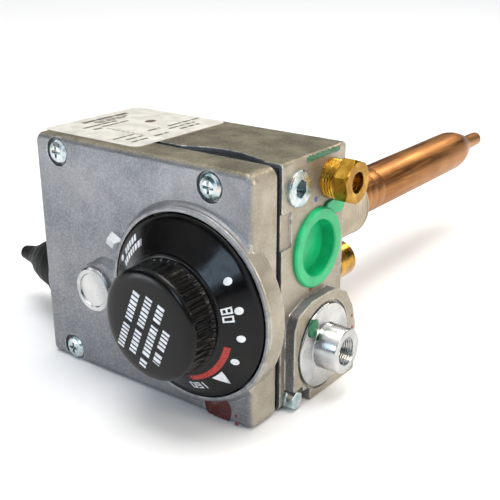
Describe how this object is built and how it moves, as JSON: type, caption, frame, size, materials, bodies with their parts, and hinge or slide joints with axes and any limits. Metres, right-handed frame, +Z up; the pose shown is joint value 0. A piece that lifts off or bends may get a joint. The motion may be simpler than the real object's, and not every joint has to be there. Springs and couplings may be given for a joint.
{
  "type": "gas valve",
  "caption": "Thermostatic gas valve for a storage water heater: cast body with dial, sensing tube on a threaded shank, gas ports, pilot and thermocouple connections.",
  "frame": {"origin": "where the tank shank's axis meets the casting's rear face", "axes": "+Y along the shank into the tank, -Y towards the dial, +X towards the outlet, pilot and thermocouple ports, +Z up as pictured"},
  "size_m": [0.1464, 0.2518, 0.0787],
  "materials": {
    "cast_aluminium": "as-cast, fine sand texture, lightly tumbled",
    "machined_aluminium": "machined, bright",
    "gasket_rubber": "matt",
    "label_paper": "printed foil-backed paper, grey rules",
    "zinc_steel": "zinc plated, clear passivated",
    "red_wax": "hardened sealing lacquer",
    "white_plastic": "moulded, matt",
    "brass": "turned",
    "black_plastic": "glossy moulding",
    "grey_plastic": "moulded acetal",
    "spring_steel": "drawn wire and strip",
    "sealed_shank": "steel pipe thread coated with cream thread sealant",
    "copper": "drawn copper, slightly oxidised",
    "iron_core": "soft iron, plain",
    "ceramic_body": "unglazed",
    "green_plastic": "soft moulded polyethylene",
    "plug_black": "soft moulded polyethylene"
  },
  "bodies": {
    "casting": {"valve_body": "cast_aluminium", "front_cover": "cast_aluminium", "cover_gasket": "gasket_rubber", "rating_label": "label_paper", "cover_screws": "zinc_steel", "seal_wax": "red_wax", "index_pointer": "white_plastic", "housing_screw": "zinc_steel", "side_test_plug": "zinc_steel", "rear_brass_plug": "brass", "cock_seat": "brass", "cock_spring": "spring_steel", "dial_stop_pin": "zinc_steel", "shaft_o_ring": "gasket_rubber", "knob_spring": "spring_steel", "regulator_cap": "machined_aluminium", "regulator_spring": "spring_steel", "diaphragm_plate": "machined_aluminium", "regulator_diaphragm": "gasket_rubber", "diaphragm_ring": "zinc_steel", "tank_shank": "sealed_shank", "sensing_tube": "copper", "thermal_cutoff": "ceramic_body", "cutoff_leads": "copper", "lever_bracket": "zinc_steel", "lever_pin": "zinc_steel", "main_valve_seat": "brass", "clicker_ring": "brass", "snap_disc": "spring_steel", "main_valve_spring": "spring_steel", "magnet_plug": "machined_aluminium", "magnet_terminal": "brass", "magnet_core": "iron_core", "magnet_coils": "copper", "magnet_can": "zinc_steel", "safety_spring": "spring_steel", "crank_pin": "zinc_steel", "inlet_screen": "spring_steel", "pilot_fitting": "brass", "pilot_nut": "brass", "pilot_ferrule": "brass", "pilot_filter": "spring_steel"},
    "cock": {"gas_cock_disc": "grey_plastic"},
    "knob": {"temperature_dial": "black_plastic", "knob_cap": "black_plastic", "dial_shaft": "brass", "shaft_clip": "zinc_steel"},
    "crank": {"pilot_crank": "zinc_steel"},
    "armature": {"magnet_keeper": "iron_core", "safety_valve_disc": "gasket_rubber"},
    "rod": {"thermostat_rod": "spring_steel"},
    "lever": {"thermostat_lever": "zinc_steel"},
    "main_valve": {"main_valve_disc": "grey_plastic"},
    "outlet_cap": {"outlet_plug": "green_plastic"},
    "inlet_cap": {"inlet_plug": "plug_black"}
  },
  "joints": [
    {"name": "dial_turn", "type": "hinge", "parent": "casting", "child": "cock", "pos_m": [0.0111, -0.05, -0.00375], "axis": [0, -1, 0], "range_deg": [-35, 235]},
    {"name": "knob_push", "type": "slide", "parent": "cock", "child": "knob", "axis": [0, 1, 0], "range_m": [0, 0.0024], "stiffness_N_per_m": 1500, "springref_m": -0.003, "deforming": ["knob_spring"]},
    {"name": "crank_tilt", "type": "hinge", "parent": "casting", "child": "crank", "pos_m": [0.02, -0.023, -0.008], "axis": [0, 0, -1], "range_deg": [0, 15.01]},
    {"name": "safety_valve_lift", "type": "slide", "parent": "casting", "child": "armature", "axis": [1, 0, 0], "range_m": [0, 0.002], "deforming": ["safety_spring"]},
    {"name": "rod_creep", "type": "slide", "parent": "casting", "child": "rod", "axis": [0, -1, 0], "range_m": [0, 0.0004], "stiffness_N_per_m": 3000, "springref_m": -0.0006},
    {"name": "lever_tilt", "type": "hinge", "parent": "casting", "child": "lever", "pos_m": [-0.009, -0.0302, 0], "axis": [0, 0, -1], "range_deg": [0, 2.55], "deforming": ["snap_disc"]},
    {"name": "main_valve_lift", "type": "slide", "parent": "casting", "child": "main_valve", "axis": [0, 1, 0], "range_m": [0, 0.0014], "deforming": ["main_valve_spring"]},
    {"name": "outlet_plug_pull", "type": "slide", "parent": "casting", "child": "outlet_cap", "axis": [1, 0, 0], "range_m": [0, 0.06]},
    {"name": "inlet_plug_pull", "type": "slide", "parent": "casting", "child": "inlet_cap", "axis": [-1, 0, 0], "range_m": [0, 0.06]}
  ],
  "couplings": [
    {"joint": "crank_tilt", "follows": "knob_push", "rad_per_m": 109.1},
    {"joint": "safety_valve_lift", "follows": "knob_push", "ratio": 0.8333},
    {"joint": "lever_tilt", "follows": "rod_creep", "rad_per_m": 111},
    {"joint": "main_valve_lift", "follows": "rod_creep", "ratio": 3.5}
  ]
}
